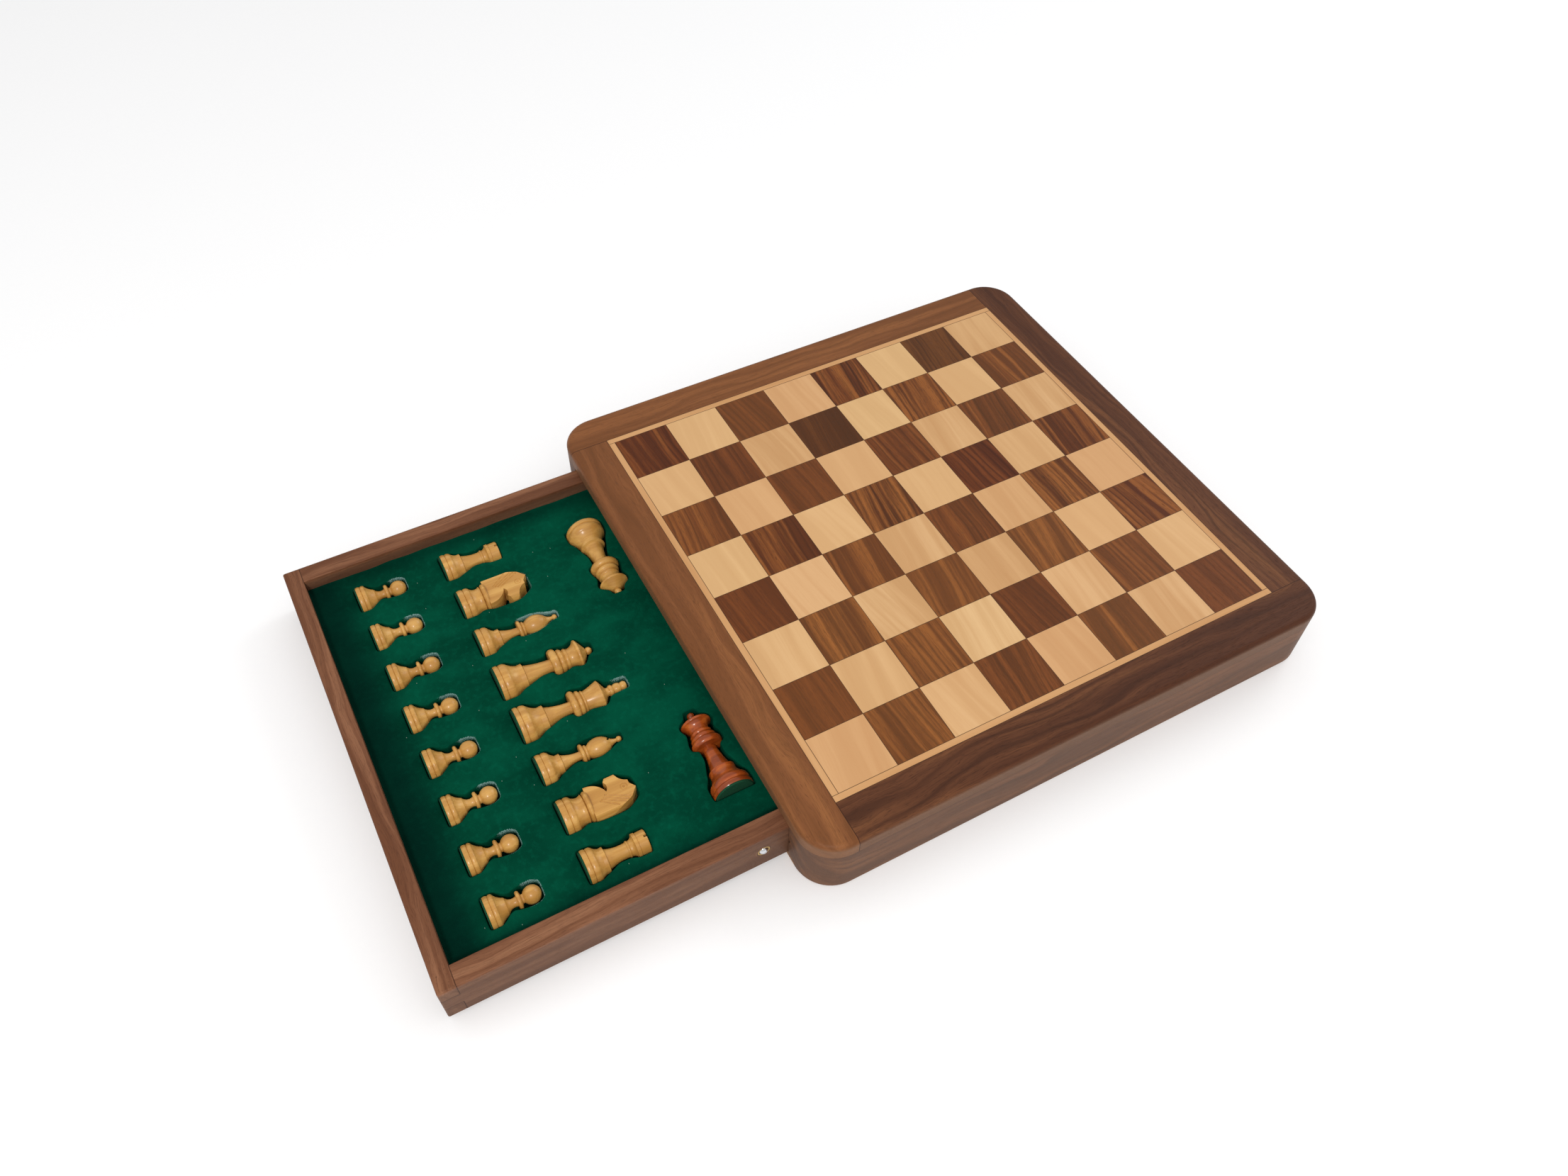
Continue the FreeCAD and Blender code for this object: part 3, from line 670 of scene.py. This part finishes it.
# Rims rubbed pale: node, from and to as shares of the piece's length, and how strongly.
wornRims = (
    [("white_pawn_%d" % n, 0.62, 1.05, 0.9) for n in range(1, 9)]
    + [("white_bishop_left", 0.45, 1.05, 1.0), ("white_king", 0.80, 1.05, 0.9),
       ("white_knight_left", 0.70, 1.05, 0.8), ("white_rook_left", 0.5, 0.9, 0.35),
       ("white_queen", 0.3, 0.5, 0.3), ("spare_white_queen", 0.1, 0.5, 0.3)]
)
rimLook = {"reach": 3.0, "fadeIn": 0.12, "fadeOut": 0.05}
clothTop = box("velvet_lining")[1].z
clothX = box("drawer_side_right")[0].x - velvetLook["wallGap"]
clothFront = box("drawer_front")[1].y + velvetLook["wallGap"]
clothBack = box("drawer_back")[0].y - velvetLook["wallGap"]


def clothLevel(x, y, look):
    # Nearly flat, a little wavy.
    spot = Vector((x / look["waveSize"], y / look["waveSize"], look["waveSeed"]))
    return clothTop - look["sunk"] + noise.noise(spot) * look["wave"]


def rimWear(point, look):
    # How strongly the rim is rubbed at a point; the rim belongs to the piece it lies by.
    found = 0.0
    reach = look["reach"]
    for name, start, end, strength in wornRims:
        low, high = box(name)
        if not (low.x - reach < point.x < high.x + reach
                and low.y - reach < point.y < high.y + reach):
            continue
        axis, sign = footSide(name)
        base = high[axis] if sign > 0 else low[axis]
        share = (point[axis] - base) * -sign / (high[axis] - low[axis])
        comesIn = max(0.0, min(1.0, (share - start) / look["fadeIn"]))
        goesOut = max(0.0, min(1.0, (end - share) / look["fadeOut"] + 1))
        found = max(found, strength * comesIn * goesOut)
    return found


def hollowOutlines(look):
    # Each hollow's rounded outline, the ways out from it, and the level of its floor.
    room = 0.1
    trayLow, trayHigh = box("tray_insert")
    points = [vertex.co / mm for vertex in nodes["tray_insert"].data.vertices]
    floorPoints = [point for point in points if trayLow.z + room < point.z < trayHigh.z - room]
    loops = topLoops(nodes["velvet_lining"], clothTop)
    loops.sort(key=lambda loop: -abs(loopArea(loop)))
    found = []
    for hole in loops[1:]:
        outline = smooth(resample(hole, look["outlineStep"]), look["rounding"])
        if loopArea(outline) < 0:
            outline.reverse()
        outward = []
        for n in range(len(outline)):
            along = outline[(n + 1) % len(outline)] - outline[n - 1]
            outward.append(Vector((along.y, -along.x)).normalized())
        floor = min(((point.xy - hole[0]).length, point.z) for point in floorPoints)[1]
        found.append((outline, smooth(outward, 3), floor))
    return found


def joinRows(mesh, rows):
    for upper, lower in zip(rows, rows[1:]):
        count = len(upper)
        for n in range(count):
            mesh.faces.new((upper[n], upper[(n + 1) % count], lower[(n + 1) % count], lower[n]))


def makeHollow(mesh, wear, outline, outward, floor, look):
    deep = clothTop - floor - look["clothRoom"]
    levels = look["lip"] + [(out, deep - over) for out, over in look["floor"]]
    lipWear = look["lipWear"] + (0.0,) * len(look["floor"])
    rubbed = [rimWear(point, rimLook) for point in outline]
    rows = []
    for (out, depth), share in zip(levels, lipWear):
        row = []
        for point, away, pale in zip(outline, outward, rubbed):
            spot = point + away * out
            z = clothLevel(spot.x, spot.y, look) - depth
            vertex = mesh.verts.new((spot.x * mm, spot.y * mm, z * mm))
            vertex[wear] = pale * share
            row.append(vertex)
        rows.append(row)
    joinRows(mesh, rows)
    mesh.faces.new(rows[-1])
    return rows[0]


def makeEdge(mesh, look):
    corners = [Vector((-clothX, clothFront)), Vector((clothX, clothFront)),
               Vector((clothX, clothBack)), Vector((-clothX, clothBack))]
    rows = []
    for inset, lift in look["edge"]:
        row = []
        for point in resample(corners, look["edgeStep"]):
            x = max(-clothX + inset, min(clothX - inset, point.x))
            y = max(clothFront + inset, min(clothBack - inset, point.y))
            spot = Vector((x / look["rippleSize"], y / look["rippleSize"], look["rippleSeed"]))
            rise = look["turnUp"] * (1 + look["ripple"] * noise.noise(spot))
            z = clothLevel(x, y, look) + lift * rise
            row.append(mesh.verts.new((x * mm, y * mm, z * mm)))
        rows.append(row)
    joinRows(mesh, rows)
    return rows[-1]


def makeField(mesh, edge, hollows, look):
    # The flat between the hollows: its borders, and a grid of points inside them.
    fixed, borders = [], []
    for ring in [edge] + hollows:
        start, count = len(fixed), len(ring)
        fixed += ring
        borders += [(start + n, start + (n + 1) % count) for n in range(count)]
    tree = kdtree.KDTree(len(fixed))
    for index, vertex in enumerate(fixed):
        tree.insert(vertex.co, index)
    tree.balance()
    outlines = [[vertex.co.xy for vertex in ring] for ring in hollows]
    extents = [(min(p.x for p in o), max(p.x for p in o), min(p.y for p in o), max(p.y for p in o))
               for o in outlines]

    def inHollow(point):
        return any(x0 < point.x < x1 and y0 < point.y < y1 and inside(point, outline)
                   for outline, (x0, x1, y0, y1) in zip(outlines, extents))

    step, inset = look["gridStep"], look["fieldInset"]
    for i in range(1, int(2 * clothX / step)):
        for j in range(1, int((clothBack - clothFront) / step)):
            x = -clothX + (i + 0.5 * (j % 2)) * step
            y = clothFront + j * step
            spot = Vector((x * mm, y * mm))
            if abs(x) > clothX - inset or not clothFront + inset < y < clothBack - inset:
                continue
            distance = tree.find((spot.x, spot.y, clothTop * mm))[2]
            if distance > look["fieldRoom"] * mm and not inHollow(spot):
                level = clothLevel(x, y, look)
                fixed.append(mesh.verts.new((spot.x, spot.y, level * mm)))
    points = [vertex.co.xy for vertex in fixed]
    tolerance = 1e-7
    cut = geometry.delaunay_2d_cdt(points, borders, [], 0, tolerance)
    triangles, origins = cut[2], cut[3]
    for triangle in triangles:
        sources = [origins[index][0] for index in triangle]
        centre = sum((points[index] for index in sources), Vector((0, 0))) / 3
        corners = [fixed[index] for index in sources]
        if len(set(sources)) == 3 and not inHollow(centre) and mesh.faces.get(corners) is None:
            mesh.faces.new(corners)


def makeVelvet(look):
    mesh = bmesh.new()
    wear = mesh.verts.layers.float.new("wear")
    hollows = [makeHollow(mesh, wear, *hollow, look) for hollow in hollowOutlines(look)]
    makeField(mesh, makeEdge(mesh, look), hollows, look)
    bmesh.ops.triangulate(mesh, faces=[face for face in mesh.faces if len(face.verts) > 4])
    bmesh.ops.recalc_face_normals(mesh, faces=mesh.faces[:])
    data = bpy.data.meshes.new("velvet")
    mesh.to_mesh(data)
    mesh.free()
    cloth = bpy.data.objects.new("velvet_cloth", data)
    bpy.context.scene.collection.objects.link(cloth)
    if sum(face.normal.z * face.area for face in data.polygons) < 0:
        data.flip_normals()
    for face in data.polygons:
        face.use_smooth = True
    data.materials.append(materials["velvet"])
    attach(cloth, "drawer")
    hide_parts("velvet_lining")
    print("velvet:", len(data.polygons), "faces")


makeVelvet(velvetLook)

# Catch springs: each is a copy of the CAD spring that rides with the drawer.
springLook = {"slack": 0.00005, "closedEnd": {"left": 1, "right": 0}}


def makeSpring(side, look):
    node = "catch_spring_" + side
    joint = "press_ball_" + side
    travel = next(entry["range_m"][1] for entry in frame["record"]["behaviour"]["joints"]
                  if entry["name"] == joint)
    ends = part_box(node)
    length = ends[1].x - ends[0].x
    spring = bpy.data.objects.new("coil_" + side, nodes[node].data.copy())
    bpy.context.scene.collection.objects.link(spring)
    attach(spring, "drawer")
    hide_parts(node)
    1 - (travel + look["slack"]) / length
    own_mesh(spring)


for side in ("left", "right"):
    makeSpring(side, springLook)
print("catch springs made")

# Floor, light and camera.
stageLook = {"floor": 6.0, "below": 0.0002, "floorColor": linear(252, 252, 252),
             "floorGrain": linear(250, 250, 251), "sky": 0.74}
floorData = bpy.data.meshes.new("floor")
edge = stageLook["floor"]
floorData.from_pydata([(-edge, -edge, 0), (edge, -edge, 0), (edge, edge, 0), (-edge, edge, 0)], [],
                      [(0, 1, 2, 3)])
floor = bpy.data.objects.new("floor", floorData)
floor.location.z = -stageLook["below"]
bpy.context.scene.collection.objects.link(floor)
paper = Shader("paper")
grainy = paper.noise(paper.x * 0.3, paper.y * 0.3, 0.0, 2.0)
floorTone = paper.mix(grainy, stageLook["floorColor"], stageLook["floorGrain"])
floorData.materials.append(paper.finish(floorTone, 0.9))

world = bpy.data.worlds.new("studio")
bpy.context.scene.world = world
world.use_nodes = True
backdrop = world.node_tree.nodes["Background"]
backdrop.inputs["Color"].default_value = (1.0, 1.0, 1.0, 1.0)
backdrop.inputs["Strength"].default_value = stageLook["sky"]


lights = {
    "key": {"spot": (1.1, -0.8, 1.5), "target": (0, -0.1, 0), "size": 0.35, "power": 17.0,
            "color": (1.0, 0.98, 0.96)},
    "window": {"spot": (-0.4, 1.6, 1.2), "target": (0, 0, 0), "size": 1.0, "power": 6.5,
               "color": (0.95, 0.98, 1.0)},
}


def addLight(name, look):
    data = bpy.data.lights.new(name, "AREA")
    data.shape = "DISK"
    data.size = look["size"]
    data.energy = look["power"]
    data.color = look["color"]
    light = bpy.data.objects.new(name, data)
    light.location = look["spot"]
    light.rotation_mode = "QUATERNION"
    ahead = Vector(look["target"]) - Vector(look["spot"])
    light.rotation_quaternion = ahead.to_track_quat("-Z", "Y")
    bpy.context.scene.collection.objects.link(light)


for name, look in lights.items():
    addLight(name, look)
bpy.context.scene.view_settings.view_transform = "Standard"  # colours show as they are set

cameraLook = {"spot": (0.3480, -0.2843, 0.5239), "target": (0.0105, -0.0921, 0.038), "roll": 1.578,
              "lens": 27.73, "sensor": 36.0, "near": 0.01}
cameraData = bpy.data.cameras.new("camera")
cameraData.sensor_width = cameraLook["sensor"]
cameraData.lens = cameraLook["lens"]
cameraData.clip_start = cameraLook["near"]
camera = bpy.data.objects.new("camera", cameraData)
ahead = Vector(cameraLook["target"]) - Vector(cameraLook["spot"])
camera.rotation_mode = "QUATERNION"
roll = Matrix.Rotation(math.radians(cameraLook["roll"]), 3, ahead.normalized())
turn = ahead.to_track_quat("-Z", "Y").to_matrix()
camera.rotation_quaternion = (roll.inverted() @ turn).to_quaternion()
camera.location = cameraLook["spot"]
bpy.context.scene.collection.objects.link(camera)
bpy.context.scene.camera = camera
print("camera and light set")
